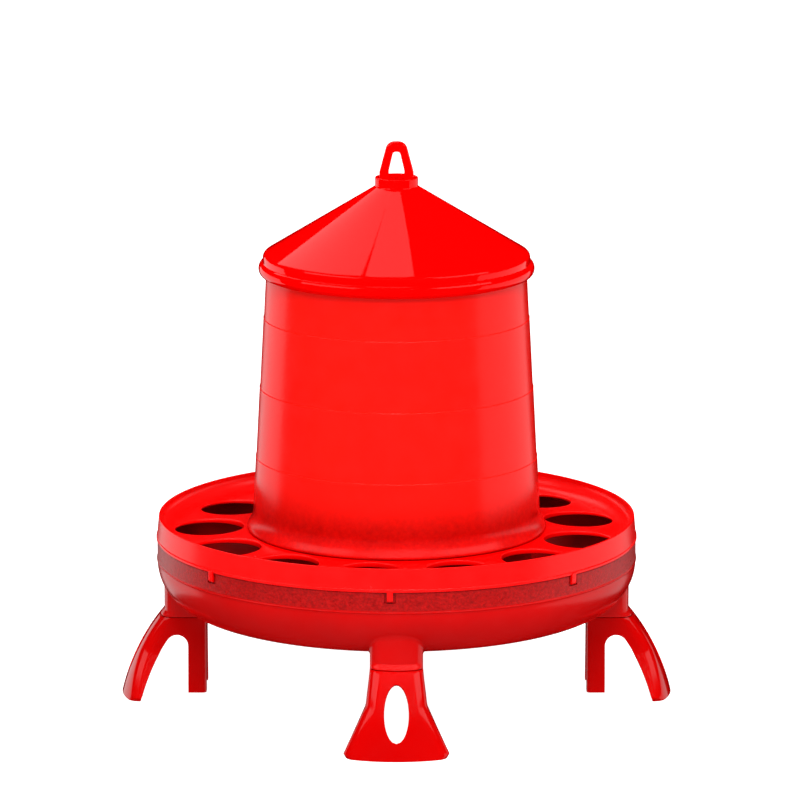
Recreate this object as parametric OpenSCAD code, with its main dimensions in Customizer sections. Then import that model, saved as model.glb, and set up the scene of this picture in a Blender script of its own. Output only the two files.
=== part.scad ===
// Gravity poultry feeder on four plug-in legs.
// Millimetres, +Z up. The origin is on the ground, on the feeder's axis, and the front faces -Y.

/* [Tray] */
// Outside radius of the tray wall
tray_r = 211.4; // [195:0.2:230]
// Height of the tray's underside above the ground
tray_floor_z = 79; // [70:0.5:95]
// Radius of the round corner between the tray's floor and its wall
tray_corner_r = 42; // [30:0.5:50]
// Height of the straight band of wall above the round corner
tray_band_h = 19; // [14:0.5:26]
// Wall thickness of the tray
tray_wall = 2.8; // [2:0.1:4]

/* [Feeding ring] */
// Height of the ring's outer rim
rim_h = 20.5; // [16:0.5:26]
// Number of feeding holes
hole_count = 13; // [8:1:13]
// Radius of one feeding hole
hole_r = 30.4; // [20:0.2:31]
// Radius of the circle through the hole centres
hole_circle_r = 165.5; // [160:0.5:168]
// Turn of the first feeding hole away from the front
hole_turn = -8.3; // [-15:0.1:15]
// Thickness of the ring's plate and walls
ring_wall = 2.2; // [1.6:0.1:3]
// Angle between the front clip and the clips beside it
clip_step_front = 47.5; // [40:0.5:52]
// Angle between the front clip and the second clips
clip_step_side = 98.5; // [90:0.5:104]

/* [Hopper] */
// Outside radius at the hopper's top edge
hopper_top_r = 113.6; // [105:0.2:118]
// Height of the hopper's top edge above the ground
hopper_top_z = 391.6; // [340:0.5:430]
// How much the wall widens per millimetre of height
hopper_taper = 0.0505; // [0.02:0.0005:0.055]
// Outside radius of the flared foot
hopper_foot_r = 132; // [130:0.2:134]
// Distance between the three level lines
level_pitch = 62; // [40:0.1:70]
// Step in the wall at each level line
level_step = 0.5; // [0.2:0.1:0.8]
// Wall thickness of the hopper
hopper_wall = 2.2; // [1.6:0.1:3]

/* [Feed outlet] */
// Outside radius of the outlet neck
neck_r = 119.2; // [112:0.2:120]
// Number of windows round the neck
window_count = 4; // [4:1:10]
// Height of the windows
window_h = 22; // [10:1:30]

/* [Lid] */
// Slope of the lid's cone in degrees
lid_slope = 31.5; // [20:0.5:40]
// Outside radius of the round bead at the lid's edge
bead_r = 121; // [119.5:0.1:124]
// Height of the bead
bead_h = 12; // [10:0.5:14]
// Wall thickness of the lid
lid_wall = 2.2; // [1.6:0.1:3]
// Outside radius of the cup on top
cup_r = 18.8; // [18.5:0.1:24]
// Height of the cup above the cone
cup_h = 8; // [6:0.5:12]

/* [Hanging loop] */
// Height of the loop above the floor of its cup
loop_h = 40; // [34:0.5:50]
// Thickness of the loop's bar
loop_bar = 8.6; // [6:0.1:9]
// Width of the loop at its base
loop_w = 30; // [26:0.5:30]

/* [Legs] */
// Width of the stem that carries a leg
stem_w = 45.6; // [40:0.2:52]
// Height of the joint between socket and leg
joint_z = 71; // [64:0.5:74]
// Width of the foot at the ground
foot_w = 90.6; // [70:0.2:100]
// Thickness of the leg's walls
leg_wall = 2.6; // [2:0.1:3.2]
// Height and width of the oval hole in the leg
oval_h = 46; // [30:1:48]
oval_w = 21.4; // [12:0.2:28]

/* [Hidden] */
$fn = 96;

// Gap between pieces that part from each other
gap = 0.3;

// Heights of the tray
corner_top_z = tray_floor_z + tray_corner_r;
band_top_z = corner_top_z + tray_band_h;
tray_top_z = band_top_z + 4.6;
lap_r = tray_r - 3.3;
tray_inside_z = tray_floor_z + tray_wall;

// Heights of the feeding ring
rim_foot_z = band_top_z + gap;
rim_top_z = rim_foot_z + rim_h;
plate_in_r = 122;
plate_out_r = 199;
plate_in_z = rim_top_z - 11.9;
plate_out_z = rim_top_z - 14.9;
lip_z = plate_out_z - ring_wall;
clip_turn = -1.5;
clip_step_rear = clip_step_side + (360 - 2 * clip_step_side) / 3;
CLIP_ANGLES = [0, clip_step_front, -clip_step_front, clip_step_side, -clip_step_side,
               clip_step_rear, -clip_step_rear];
clip_w = 5.4;
clip_drop = 8.3;
// A clip lies in a pocket in the tray's wall, which is open at the top
pocket_w = 10.4;
pocket_h = 9.2;
pocket_r = tray_r - 1.8;

// Heights of the hopper and its outlet
foot_z = plate_in_z + 0.8;
flare_z = foot_z + 18.5;
level_z = [for (i = [1:3]) foot_z + 1.8 + level_pitch * i];
outlet_top_z = foot_z + 3;
window_z = tray_inside_z + 4;

// Heights of the lid and the loop
lid_slope_h = tan(lid_slope);
skirt_r = bead_r - 3.8;
shoulder_z = hopper_top_z + 2.2;
cup_z = shoulder_z + (skirt_r - cup_r) * lid_slope_h;
cup_floor_z = cup_z - 1;
cup_top_z = cup_z + cup_h;
bead_z = shoulder_z - 12.2;
pin_r = 5;
pin_tip_r = 3.4;
retainer_z = cup_floor_z - 2.6;

// The leg's outer face is one arc in side view, and its arch is a second one round the same centre
arc_r = 183.5;
arc_x = 65.1;
arc_z = -42.5;
web_w = 17.3;
arch_r = arc_r - web_w;
arch_in_x = 184.2;
arch_round = 10;
stem_in_x = 168.1;
stem_out_x = 205.7;
prong_z = 4;
prong_w = 56.6;
flare_bend_z = 41.5;
flare_bend_w = 52.6;
leg_top_z = joint_z - gap;
// The outer face bulges round an upright axis this far from the feeder's axis
face_axis_x = 140;
leg_reach_x = 250;
LEG_ANGLES = [0, 90, 180, 270];

function arc(x, z, r, from, to, steps) =
    [for (i = [0:steps]) let (a = from + (to - from) * i / steps) [x + r * cos(a), z + r * sin(a)]];

// Turns a shape drawn along +X to a direction counted from the front (-Y) towards +X
module toward(angle) rotate([0, 0, angle - 90]) children();

// ---- Tray ----

module tray_shell() {
    corner_x = tray_r - tray_corner_r;
    rotate_extrude() polygon(concat(
        [[0, tray_floor_z]],
        arc(corner_x, corner_top_z, tray_corner_r, -90, 0, 14),
        [[tray_r + 0.6, corner_top_z + 0.7], [tray_r + 0.6, corner_top_z + 1.9],
         [tray_r, corner_top_z + 2.6], [tray_r, band_top_z], [lap_r, band_top_z],
         [lap_r, tray_top_z], [lap_r - 2.6, tray_top_z], [lap_r - 2.6, band_top_z - 2],
         [tray_r - tray_wall, band_top_z - 8]],
        arc(corner_x, corner_top_z, tray_corner_r - tray_wall, 0, -90, 14),
        [[0, tray_inside_z]]));
}

// The space inside the tray, a little inside its walls
module tray_space() {
    corner_x = tray_r - tray_corner_r;
    rotate_extrude() polygon(concat(
        [[0, tray_inside_z - 1], [corner_x, tray_inside_z - 1]],
        arc(corner_x, corner_top_z, tray_corner_r - tray_wall + 1, -90, 0, 14),
        [[tray_r - tray_wall + 1, 200], [0, 200]]));
}

// Everything under the leg's outer face, inward of the arc and below the socket's upright face
module under_face(inset, low_z, high_z) {
    bend_z = arc_z + sqrt(pow(arc_r, 2) - pow(stem_out_x - arc_x, 2));
    r = arc_r - inset;
    from = asin((bend_z - inset - arc_z) / r);
    to = asin((low_z - arc_z) / r);
    translate([face_axis_x, 0, 0]) rotate_extrude() polygon(concat(
        [[0, low_z], [0, high_z], [stem_out_x - inset - face_axis_x, high_z]],
        arc(arc_x - face_axis_x, arc_z, r, from, to, 14)));
}

module box_between(x0, x1, w, z0, z1) translate([x0, -w / 2, z0]) cube([x1 - x0, w, z1 - z0]);

module socket() {
    difference() {
        intersection() {
            under_face(0, joint_z, corner_top_z);
            box_between(stem_in_x, leg_reach_x, stem_w, joint_z, corner_top_z);
        }
        intersection() {
            under_face(leg_wall, joint_z - 1, corner_top_z);
            box_between(stem_in_x + leg_wall, leg_reach_x, stem_w - 2 * leg_wall,
                        joint_z - 1, corner_top_z);
        }
    }
}

module clip_pocket() {
    translate([pocket_r, -pocket_w / 2, band_top_z - pocket_h]) cube([8, pocket_w, pocket_h + 1]);
}

module tray() {
    color("crimson") union() {
        difference() {
            tray_shell();
            for (a = CLIP_ANGLES) toward(clip_turn + a) clip_pocket();
        }
        difference() {
            union() for (a = LEG_ANGLES) toward(a) socket();
            tray_space();
        }
    }
}

// ---- Feed cone ----

module feed_cone() {
    foot_r = 104;
    top_r = 14;
    top_z = tray_inside_z + 52;
    color("firebrick") difference() {
        rotate_extrude() polygon(concat(
            [[0, tray_inside_z], [foot_r, tray_inside_z], [foot_r, tray_inside_z + 2.4]],
            arc(0, top_z, top_r, 31, 90, 8)));
        rotate_extrude() polygon(concat(
            [[0, tray_inside_z - 1], [foot_r - 4, tray_inside_z - 1], [foot_r - 4, tray_inside_z]],
            arc(0, top_z - 2.4, top_r - 1, 31, 90, 8)));
    }
}

// ---- Feeding ring ----

function plate_z(r) =
    plate_in_z + (plate_out_z - plate_in_z) * (r - plate_in_r) / (plate_out_r - plate_in_r);

module ring_body() {
    cove_r = 13;
    cove_x = plate_out_r - 3.2;
    cove_z = plate_out_z + cove_r;
    rotate_extrude() polygon(concat(
        [[plate_in_r, plate_in_z - 8], [plate_in_r, plate_in_z + 0.4], [plate_in_r + 1, plate_in_z]],
        arc(cove_x, cove_z, cove_r, -88, -6, 10),
        [[rim_in_r(), rim_top_z - 0.4], [rim_in_r() + 0.5, rim_top_z], [tray_r - 1.9, rim_top_z],
         [tray_r - 1.4, rim_top_z - 0.5], [tray_r + 0.1, rim_foot_z + 2.6],
         [tray_r + 0.8, rim_foot_z + 2], [tray_r + 0.8, rim_foot_z],
         [lap_r + gap, rim_foot_z], [lap_r + gap, tray_top_z + 1.5]],
        arc(cove_x, cove_z, cove_r + ring_wall, -22, -88, 8),
        [[plate_in_r + ring_wall, plate_z(plate_in_r) - ring_wall],
         [plate_in_r + ring_wall, plate_in_z - 8]]));
}

function rim_in_r() = tray_r - 2.9;

// A ring of upright lip round one feeding hole, flush with the plate's slope on top
module hole_lip() {
    slope = atan((plate_in_z - plate_out_z) / (plate_out_r - plate_in_r));
    difference() {
        translate([hole_circle_r, 0, lip_z]) cylinder(r = hole_r + ring_wall, h = plate_in_z - lip_z);
        translate([hole_circle_r, 0, plate_z(hole_circle_r) - 0.6]) rotate([0, slope, 0])
            translate([-60, -60, 0]) cube([120, 120, 20]);
    }
}

module clip() {
    translate([pocket_r + gap, -clip_w / 2, rim_foot_z - clip_drop]) cube([3, clip_w, clip_drop + 2]);
}

module feeding_ring() {
    color("red") difference() {
        union() {
            ring_body();
            for (i = [0:hole_count - 1]) toward(hole_turn + i * 360 / hole_count) hole_lip();
            for (a = CLIP_ANGLES) toward(clip_turn + a) clip();
        }
        for (i = [0:hole_count - 1]) toward(hole_turn + i * 360 / hole_count)
            translate([hole_circle_r, 0, lip_z - 1]) cylinder(r = hole_r, h = 20);
    }
}

// ---- Feed outlet ----

module feed_outlet() {
    wall = 2.2;
    flange_r = hopper_foot_r - hopper_wall - 3.2;
    bottom_z = tray_inside_z + gap;
    window_w = 360 / window_count * 0.66;
    color("firebrick") difference() {
        union() {
            translate([0, 0, bottom_z]) difference() {
                cylinder(r = neck_r, h = outlet_top_z - bottom_z);
                translate([0, 0, -1]) cylinder(r = neck_r - wall, h = outlet_top_z - bottom_z + 2);
            }
            translate([0, 0, outlet_top_z - wall]) difference() {
                cylinder(r = flange_r, h = wall);
                translate([0, 0, -1]) cylinder(r = neck_r - wall, h = wall + 2);
            }
        }
        for (i = [0:window_count - 1]) toward(i * 360 / window_count)
            rotate([0, 0, -window_w / 2]) rotate_extrude(angle = window_w)
                translate([neck_r - 8, window_z]) square([16, window_h]);
    }
}

// ---- Hopper ----

function hopper_r(z, steps) = hopper_top_r + (hopper_top_z - z) * hopper_taper + steps * level_step;

module hopper() {
    inner_top_r = hopper_top_r - hopper_wall;
    flare_r = hopper_r(flare_z, 3);
    flare = hopper_foot_r - flare_r;
    steps_out = [for (i = [2:-1:0], side = [0, 1])
        [hopper_r(level_z[i], 2 - i + side), level_z[i] + (side == 0 ? 0.25 : -0.25)]];
    flare_out = [for (t = [0:0.2:1]) [flare_r + flare * pow(t, 2.2), flare_z + (foot_z + 1.6 - flare_z) * t]];
    flare_in = [for (t = [1:-0.2:0])
        [flare_r - hopper_wall + flare * pow(t, 2.2), flare_z + (foot_z + 3.4 - flare_z) * t]];
    color("tomato") rotate_extrude() polygon(concat(
        [[inner_top_r, hopper_top_z], [hopper_top_r, hopper_top_z]],
        steps_out, flare_out,
        [[hopper_foot_r, foot_z + 0.4], [hopper_foot_r - 0.4, foot_z],
         [flare_r, foot_z], [flare_r, foot_z + 0.8],
         [hopper_foot_r - hopper_wall - 1, foot_z + 0.8]],
        flare_in));
}

// ---- Lid ----

module lid() {
    wall_h = lid_wall / cos(lid_slope);
    shoulder_r = 4;
    seat_r = hopper_top_r + 1.7;
    bead_out = bead_r - skirt_r;
    collar_r = hopper_top_r - hopper_wall - 0.8;
    under_z = function(r) shoulder_z + (skirt_r - r) * lid_slope_h - wall_h;
    color("red") difference() {
        union() {
            rotate_extrude() polygon(concat(
                [[0, cup_z], [cup_r, cup_z]],
                arc(skirt_r - shoulder_r, shoulder_z - 1.6, shoulder_r, 90 - lid_slope, 0, 6),
                [[skirt_r, bead_z + bead_h / 2]],
                [for (a = [60:-20:-60]) [bead_r - bead_out * 1.6 * (1 - cos(a)), bead_z + bead_h / 2 * sin(a) / sin(60)]],
                [[seat_r, bead_z - bead_h / 2], [seat_r, under_z(seat_r) - 0.5],
                 [cup_r - 3, under_z(cup_r - 3)], [0, under_z(cup_r - 3)]]));
            translate([0, 0, cup_z - 1]) cylinder(r = cup_r, h = cup_h + 1);
            translate([0, 0, hopper_top_z - 12]) difference() {
                cylinder(r = collar_r, h = under_z(collar_r) - hopper_top_z + 13);
                translate([0, 0, -1]) cylinder(r = collar_r - 1.8, h = 40);
            }
        }
        translate([0, 0, cup_floor_z]) cylinder(r = cup_r - 2.2, h = cup_h + 2);
        translate([0, 0, retainer_z - 20]) cylinder(r = pin_r + 0.06, h = 40);
        translate([0, 0, retainer_z - 20]) cylinder(r = 13, h = 20);
    }
}

// ---- Hanging loop ----

// Upright from z0 to bend_z, then leaning in to a round top
module loop_outline(w, top_w, z0, bend_z, z1, round_r) {
    lean = atan((w - top_w) / 2 / (z1 - bend_z));
    polygon(concat(
        [[w / 2, z0], [w / 2, bend_z]],
        arc(top_w / 2 - round_r, z1 - round_r, round_r, lean, 90, 6),
        arc(round_r - top_w / 2, z1 - round_r, round_r, 90, 180 - lean, 6),
        [[-w / 2, bend_z], [-w / 2, z0]]));
}

module hanging_loop() {
    foot_z0 = cup_floor_z + 0.1;
    bow_z = foot_z0 + 3;
    top_z = cup_floor_z + loop_h;
    color("red") union() {
        translate([0, 0, foot_z0]) cylinder(r = loop_w / 2 + 0.6, h = 3);
        translate([0, loop_bar / 2, 0]) rotate([90, 0, 0]) linear_extrude(loop_bar) difference() {
            loop_outline(loop_w, 19.4, bow_z - 1, cup_top_z + 4, top_z, 8);
            loop_outline(15.4, 8.4, bow_z + 0.4, cup_top_z + 1, top_z - loop_bar, 3.4);
        }
        translate([0, 0, retainer_z - 0.2]) cylinder(r = pin_r, h = foot_z0 - retainer_z + 0.3);
        translate([0, 0, retainer_z - 3.4]) cylinder(r = pin_tip_r, h = 4);
    }
}

module loop_retainer() {
    color("gray") translate([0, 0, retainer_z - 2.4]) difference() {
        cylinder(r = 10, h = 2.2);
        translate([0, 0, -1]) cylinder(r = pin_tip_r, h = 5);
    }
}

// ---- Legs ----

// The leg's front outline: upright stem, slight flare, then the wide foot
module front_outline(inset, low_z) {
    side = [[stem_w / 2 - inset, joint_z], [flare_bend_w / 2 - inset, flare_bend_z],
            [foot_w / 2 - inset, 3], [foot_w / 2 - inset - 2, low_z]];
    polygon(concat(side, [for (i = [3:-1:0]) [-side[i][0], side[i][1]]]));
}

module prong_outline(inset, low_z) {
    side = [[stem_w / 2 - inset, joint_z], [stem_w / 2 - inset, 60], [prong_w / 2 - inset, low_z]];
    polygon(concat(side, [for (i = [2:-1:0]) [-side[i][0], side[i][1]]]));
}

module upright(x0, x1) translate([x0, 0, 0]) rotate([90, 0, 90]) linear_extrude(x1 - x0) children();

module leg_block(inset, low_z, high_z, prong_low_z) {
    split_x = arch_in_x + arch_round;
    intersection() {
        under_face(inset, low_z, high_z);
        union() {
            upright(split_x, leg_reach_x) front_outline(inset, low_z);
            upright(stem_in_x - (inset > 0 ? 5 : 0), split_x + 0.01) prong_outline(inset, prong_low_z);
        }
    }
}

// The arch between the outer foot and the inner prongs, seen from the side
module arch_cut() {
    round_x = arch_in_x + arch_round;
    round_z = arc_z + sqrt(pow(arch_r - arch_round, 2) - pow(round_x - arc_x, 2));
    meet = asin((round_z - arc_z) / (arch_r - arch_round));
    translate([0, 60, 0]) rotate([90, 0, 0]) linear_extrude(120) polygon(concat(
        [[arch_in_x, -1]],
        arc(round_x, round_z, arch_round, 180, meet, 12),
        arc(arc_x, arc_z, arch_r, meet, asin((-1 - arc_z) / arch_r), 12)));
}

module oval_cut() {
    upright(arch_in_x + 6, leg_reach_x)
        polygon([for (a = [0:10:350]) [oval_w / 2 * cos(a), 38 + oval_h / 2 * sin(a)]]);
}

// The opening between the two inner prongs
module prong_gap() {
    gap_r = 15;
    top_z = 55;
    upright(stem_in_x - 1, arch_in_x) union() {
        translate([-gap_r, -1]) square([2 * gap_r, top_z - gap_r + 1]);
        translate([0, top_z - gap_r]) circle(gap_r);
    }
}

// The hollow plug that fills the socket, cut to clear the tray's round corner
module plug() {
    clear = 0.35;
    x0 = stem_in_x + leg_wall + clear;
    x1 = stem_out_x - leg_wall - clear - 4.6;
    w = stem_w - 2 * leg_wall - 2 * clear;
    corner_x = tray_r - tray_corner_r;
    difference() {
        box_between(x0, x1, w, leg_top_z - 1, corner_top_z - 26);
        box_between(x0 + leg_wall, x1 - leg_wall, w - 2 * leg_wall, leg_top_z + 2, corner_top_z);
        toward(90) rotate_extrude() polygon(concat(
            [[0, tray_floor_z - 1]],
            arc(corner_x, corner_top_z, tray_corner_r + 1, -90, 0, 14),
            [[0, corner_top_z]]));
    }
}

module leg() {
    color("red") union() {
        difference() {
            leg_block(0, 0, leg_top_z, prong_z);
            leg_block(leg_wall, -1, leg_top_z - 3, -1);
            translate([0, 0, -0.01]) box_between(stem_in_x - 1, arch_in_x + 0.1, 100, -1, prong_z);
            arch_cut();
            oval_cut();
            prong_gap();
        }
        plug();
    }
}

module leg_front() toward(0) leg();
module leg_right() toward(90) leg();
module leg_rear() toward(180) leg();
module leg_left() toward(270) leg();

tray();
feed_cone();
feeding_ring();
feed_outlet();
hopper();
lid();
hanging_loop();
loop_retainer();
leg_front();
leg_right();
leg_rear();
leg_left();
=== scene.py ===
"""A gravity poultry feeder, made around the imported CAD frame.

Sizes in the shape functions are millimetres; Shape.mesh turns them into metres.
+Z is up, the origin is on the ground on the feeder's axis, and the front faces -Y.
"""
import math

import bmesh
import bpy
from mathutils import Matrix, Vector


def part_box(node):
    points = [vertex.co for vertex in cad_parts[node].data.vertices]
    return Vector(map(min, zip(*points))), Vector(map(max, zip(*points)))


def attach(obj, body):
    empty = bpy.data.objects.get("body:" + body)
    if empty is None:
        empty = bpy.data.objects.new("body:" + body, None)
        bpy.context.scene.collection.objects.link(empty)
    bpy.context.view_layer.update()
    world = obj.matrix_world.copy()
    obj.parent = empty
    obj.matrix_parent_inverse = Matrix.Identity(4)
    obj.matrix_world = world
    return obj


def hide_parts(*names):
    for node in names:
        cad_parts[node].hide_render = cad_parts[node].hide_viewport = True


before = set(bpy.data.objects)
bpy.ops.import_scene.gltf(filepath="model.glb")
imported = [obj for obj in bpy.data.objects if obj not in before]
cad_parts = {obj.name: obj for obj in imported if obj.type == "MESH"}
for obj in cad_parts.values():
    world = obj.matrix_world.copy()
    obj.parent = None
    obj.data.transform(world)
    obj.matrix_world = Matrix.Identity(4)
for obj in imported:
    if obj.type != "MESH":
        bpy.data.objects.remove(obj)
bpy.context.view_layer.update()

MM = 0.001
LEG_ANGLES = {"front": 0, "right": 90, "rear": 180, "left": 270}


def box_mm(node):
    low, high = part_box(node)
    return low / MM, high / MM


# ---- Sizes, from the frame where it holds them ----

TRAY_LOW, TRAY_HIGH = box_mm("tray")
HOPPER_LOW, HOPPER_HIGH = box_mm("hopper")
LID_HIGH = box_mm("lid")[1]

GAP = 0.3
JOINT_Z = TRAY_LOW.z
TRAY_R = TRAY_HIGH.x - 0.6
TRAY_TOP_Z = TRAY_HIGH.z
LAP_R = TRAY_R - 3.3
LAP_WALL = 2.6
BAND_TOP_Z = TRAY_TOP_Z - 4.6
BAND_H = 19
TRAY_WALL = 2.8
CORNER_R = 42
CORNER_X = TRAY_R - CORNER_R
CORNER_Z = BAND_TOP_Z - BAND_H
BAND_LOW_Z = CORNER_Z + 2.4
TRAY_FLOOR_Z = CORNER_Z - CORNER_R

RIM_TOP_Z = box_mm("feeding_ring")[1].z
RIM_FOOT_Z = BAND_TOP_Z + GAP
RIM_IN_R = TRAY_R - 2.9
RIM_LIP_R = TRAY_R + 0.8
RING_WALL = 2.2
PLATE_IN_R = 122
PLATE_OUT_R = 199
PLATE_IN_Z = RIM_TOP_Z - 11.9
PLATE_OUT_Z = RIM_TOP_Z - 14.9
COVE_R = 13
COVE_X = PLATE_OUT_R - 3.2
COVE_Z = PLATE_OUT_Z + COVE_R
HOLE_COUNT = 13
HOLE_R = 30.4
HOLE_CIRCLE_R = 165.5
HOLE_TURN = -8.3
LIP_Z = PLATE_OUT_Z - RING_WALL
CLIP_ANGLES = [-1.5 + step for step in (0, 47.5, -47.5, 98.5, -98.5, 152.8, -152.8)]
CLIP_W = 5.4
CLIP_DROP = 8.3
POCKET_W = 10.4
POCKET_H = 9.2
POCKET_R = TRAY_R - 1.8

FOOT_Z = HOPPER_LOW.z
FOOT_R = HOPPER_HIGH.x
HOPPER_TOP_Z = HOPPER_HIGH.z
HOPPER_TOP_R = 113.6
HOPPER_TAPER = 0.0505
HOPPER_WALL = 2.2
LEVEL_PITCH = 62
LEVEL_START_Z = FOOT_Z + 1.8
LEVEL_STEP = 0.5
FLARE_H = 18.5
FLARE_CURVE = 2.2
# Heights over which the hopper's painted shade fades out, going up
PAINTED_SHADE_FULL_Z = 158
PAINTED_SHADE_TOP_Z = 205

BEAD_R = LID_HIGH.x
BEAD_H = 12
CUP_TOP_Z = LID_HIGH.z
CUP_R = 18.8
CUP_Z = CUP_TOP_Z - 8
CUP_FLOOR_Z = CUP_Z - 1
LID_SLOPE = math.radians(31.5)
LID_WALL = 2.2
COLLAR_WALL = 1.8
COLLAR_H = 12
RETAINER_SEAT_R = 13
PIN_CLEARANCE = 0.06
SKIRT_R = BEAD_R - 3.8
SHOULDER_Z = HOPPER_TOP_Z + 2.2
BEAD_Z = SHOULDER_Z - 12.2
RETAINER_Z = CUP_FLOOR_Z - 2.6
PIN_R = 5

LOOP_TOP_Z = box_mm("hanging_loop")[1].z
LOOP_W = 30
LOOP_BAR = 8.6

# The leg's outer face and its arch are arcs round one centre, in side view
ARC_X = 65.1
ARC_Z = -42.5
ARC_R = 183.5
ARCH_R = ARC_R - 17.3
ARCH_IN_X = 184.2
ARCH_ROUND = 10
FACE_AXIS_X = 140
STEM_W = 45.6
STEM_IN_X = 168.1
STEM_OUT_X = 205.7
STEM_MIDDLE_X = (STEM_IN_X + STEM_OUT_X) / 2
LEG_WALL = 2.6
LEG_TOP_Z = JOINT_Z - GAP
LEG_EDGE_R = 11
LEG_BACK_EDGE_R = 3.5
PRONG_Z = 4
OVAL_Z = 38
OVAL_H = 46
OVAL_W = 21.4
PRONG_GAP_R = 15
PRONG_GAP_TOP_Z = 55


# ---- Outline helpers ----

def arc(x, z, r, start, end, steps):
    """Points on an arc, from one angle in degrees to another."""
    angles = [math.radians(start + (end - start) * i / steps) for i in range(steps + 1)]
    return [(x + r * math.cos(a), z + r * math.sin(a)) for a in angles]


def rounded(corners, closed=True, steps=5):
    """Rounds an outline. Each corner is (x, z) or (x, z, radius)."""
    path = []
    count = len(corners)
    for i, corner in enumerate(corners):
        here = Vector(corner[:2])
        radius = corner[2] if len(corner) > 2 else 0
        if not radius or (not closed and i in (0, count - 1)):
            path.append(tuple(here))
            continue
        back = Vector(corners[i - 1][:2]) - here
        ahead = Vector(corners[(i + 1) % count][:2]) - here
        half = back.angle(ahead) / 2
        reach = min(radius / math.tan(half), back.length * 0.49, ahead.length * 0.49)
        start = here + back.normalized() * reach
        end = here + ahead.normalized() * reach
        # A point just beyond each end keeps the shading of the straight runs flat
        if back.length > 2 * reach + 2:
            path.append(tuple(start + back.normalized() * 0.4))
        for k in range(steps + 1):
            t = k / steps
            bend = start * (1 - t) ** 2 + here * 2 * t * (1 - t) + end * t ** 2
            chord = start.lerp(end, t)
            path.append(tuple(bend.lerp(chord, 0.12)))
        if ahead.length > 2 * reach + 2:
            path.append(tuple(end + ahead.normalized() * 0.4))
    return path


def smooth_step(value, low, high):
    t = min(1, max(0, (value - low) / (high - low)))
    return t * t * (3 - 2 * t)


def line_through(value, points):
    """Straight-line interpolation in a short list of (value, result)."""
    for (v0, r0), (v1, r1) in zip(points, points[1:]):
        if value <= v1:
            return r0 + (r1 - r0) * max(0, value - v0) / (v1 - v0)
    return points[-1][1]


# ---- Mesh helpers ----

class Shape:
    """Vertices in millimetres and faces, added to part by part."""

    def __init__(self):
        self.verts = []
        self.faces = []

    def add(self, verts, faces):
        offset = len(self.verts)
        self.verts += verts
        self.faces += [tuple(offset + i for i in face) for face in faces]
        return self

    def join(self, other):
        return self.add(other.verts, other.faces)

    def rows(self, rows, loop_columns=False, loop_rows=False, skip=()):
        """A grid of faces over rows of points. skip holds the (row, column) of faces left out."""
        width = len(rows[0])
        faces = []
        for j in range(len(rows) if loop_rows else len(rows) - 1):
            for i in range(width if loop_columns else width - 1):
                if (j, i) in skip:
                    continue
                below, above = j * width, (j + 1) % len(rows) * width
                side = (i + 1) % width
                faces.append((below + i, below + side, above + side, above + i))
        return self.add([p for row in rows for p in row], faces)

    def spin(self, profile, segments=192, closed=True):
        """Turns a profile of (r, z) about the axis."""
        rows = []
        for r, z in profile:
            rows.append([(r * math.sin(a), -r * math.cos(a), z)
                         for a in (2 * math.pi * i / segments for i in range(segments))])
        return self.rows(rows, loop_columns=True, loop_rows=closed)

    def box(self, low, high):
        (x0, y0, z0), (x1, y1, z1) = low, high
        verts = [(x, y, z) for z in (z0, z1) for y in (y0, y1) for x in (x0, x1)]
        faces = [(0, 2, 3, 1), (4, 5, 7, 6), (0, 1, 5, 4), (2, 6, 7, 3), (0, 4, 6, 2), (1, 3, 7, 5)]
        return self.add(verts, faces)

    def prism(self, outlines):
        """Closes the walls between outlines, and the first and last outline."""
        start, count = len(self.verts), len(outlines[0])
        self.rows(outlines, loop_columns=True)
        first = range(start, start + count)
        last = range(len(self.verts) - count, len(self.verts))
        self.faces += [tuple(first), tuple(last)[::-1]]
        return self

    def turned(self, degrees):
        """The same shape, drawn along +X and turned to a direction counted from the front."""
        turn = Matrix.Rotation(math.radians(degrees - 90), 3, "Z")
        copy = Shape()
        return copy.add([tuple(turn @ Vector(v)) for v in self.verts], self.faces)

    def mesh(self, name, weld=0.004):
        mesh = bpy.data.meshes.new(name)
        mesh.from_pydata([[c * MM for c in v] for v in self.verts], [], self.faces)
        bm = bmesh.new()
        bm.from_mesh(mesh)
        bmesh.ops.remove_doubles(bm, verts=bm.verts, dist=weld * MM)
        bmesh.ops.recalc_face_normals(bm, faces=bm.faces)
        bm.to_mesh(mesh)
        bm.free()
        return mesh


def link(name, mesh):
    piece = bpy.data.objects.new(name, mesh)
    bpy.context.scene.collection.objects.link(piece)
    return piece


def apply_modifiers(piece):
    """Keeps what the modifiers make, as the piece's own mesh."""
    graph = bpy.context.evaluated_depsgraph_get()
    made = bpy.data.meshes.new_from_object(piece.evaluated_get(graph))
    old = piece.data
    piece.modifiers.clear()
    piece.data = made
    bpy.data.meshes.remove(old)


def cut(piece, cutters):
    """Cuts the cutters' shape out of a piece."""
    tool = link(piece.name + "_cutter", cutters.mesh("cutter"))
    modifier = piece.modifiers.new("cut", "BOOLEAN")
    modifier.operation = "DIFFERENCE"
    modifier.solver = "EXACT"
    modifier.object = tool
    apply_modifiers(piece)
    bpy.data.objects.remove(tool)


def soften(piece, width, segments=2, angle=50):
    modifier = piece.modifiers.new("soften", "BEVEL")
    modifier.width = width * MM
    modifier.segments = segments
    modifier.limit_method = "ANGLE"
    modifier.angle_limit = math.radians(angle)
    apply_modifiers(piece)


def finish_piece(piece, material, body, slot, *nodes):
    """Shading, material, body and the CAD nodes that the piece stands for. The slot argument is not
    used.
    """
    piece.data.materials.clear()
    piece.data.materials.append(material)
    piece.data.shade_smooth()
    piece.data.set_sharp_from_angle(angle=math.radians(35))
    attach(piece, body)
    if nodes:
        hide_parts(*nodes)


# ---- Materials ----

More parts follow.
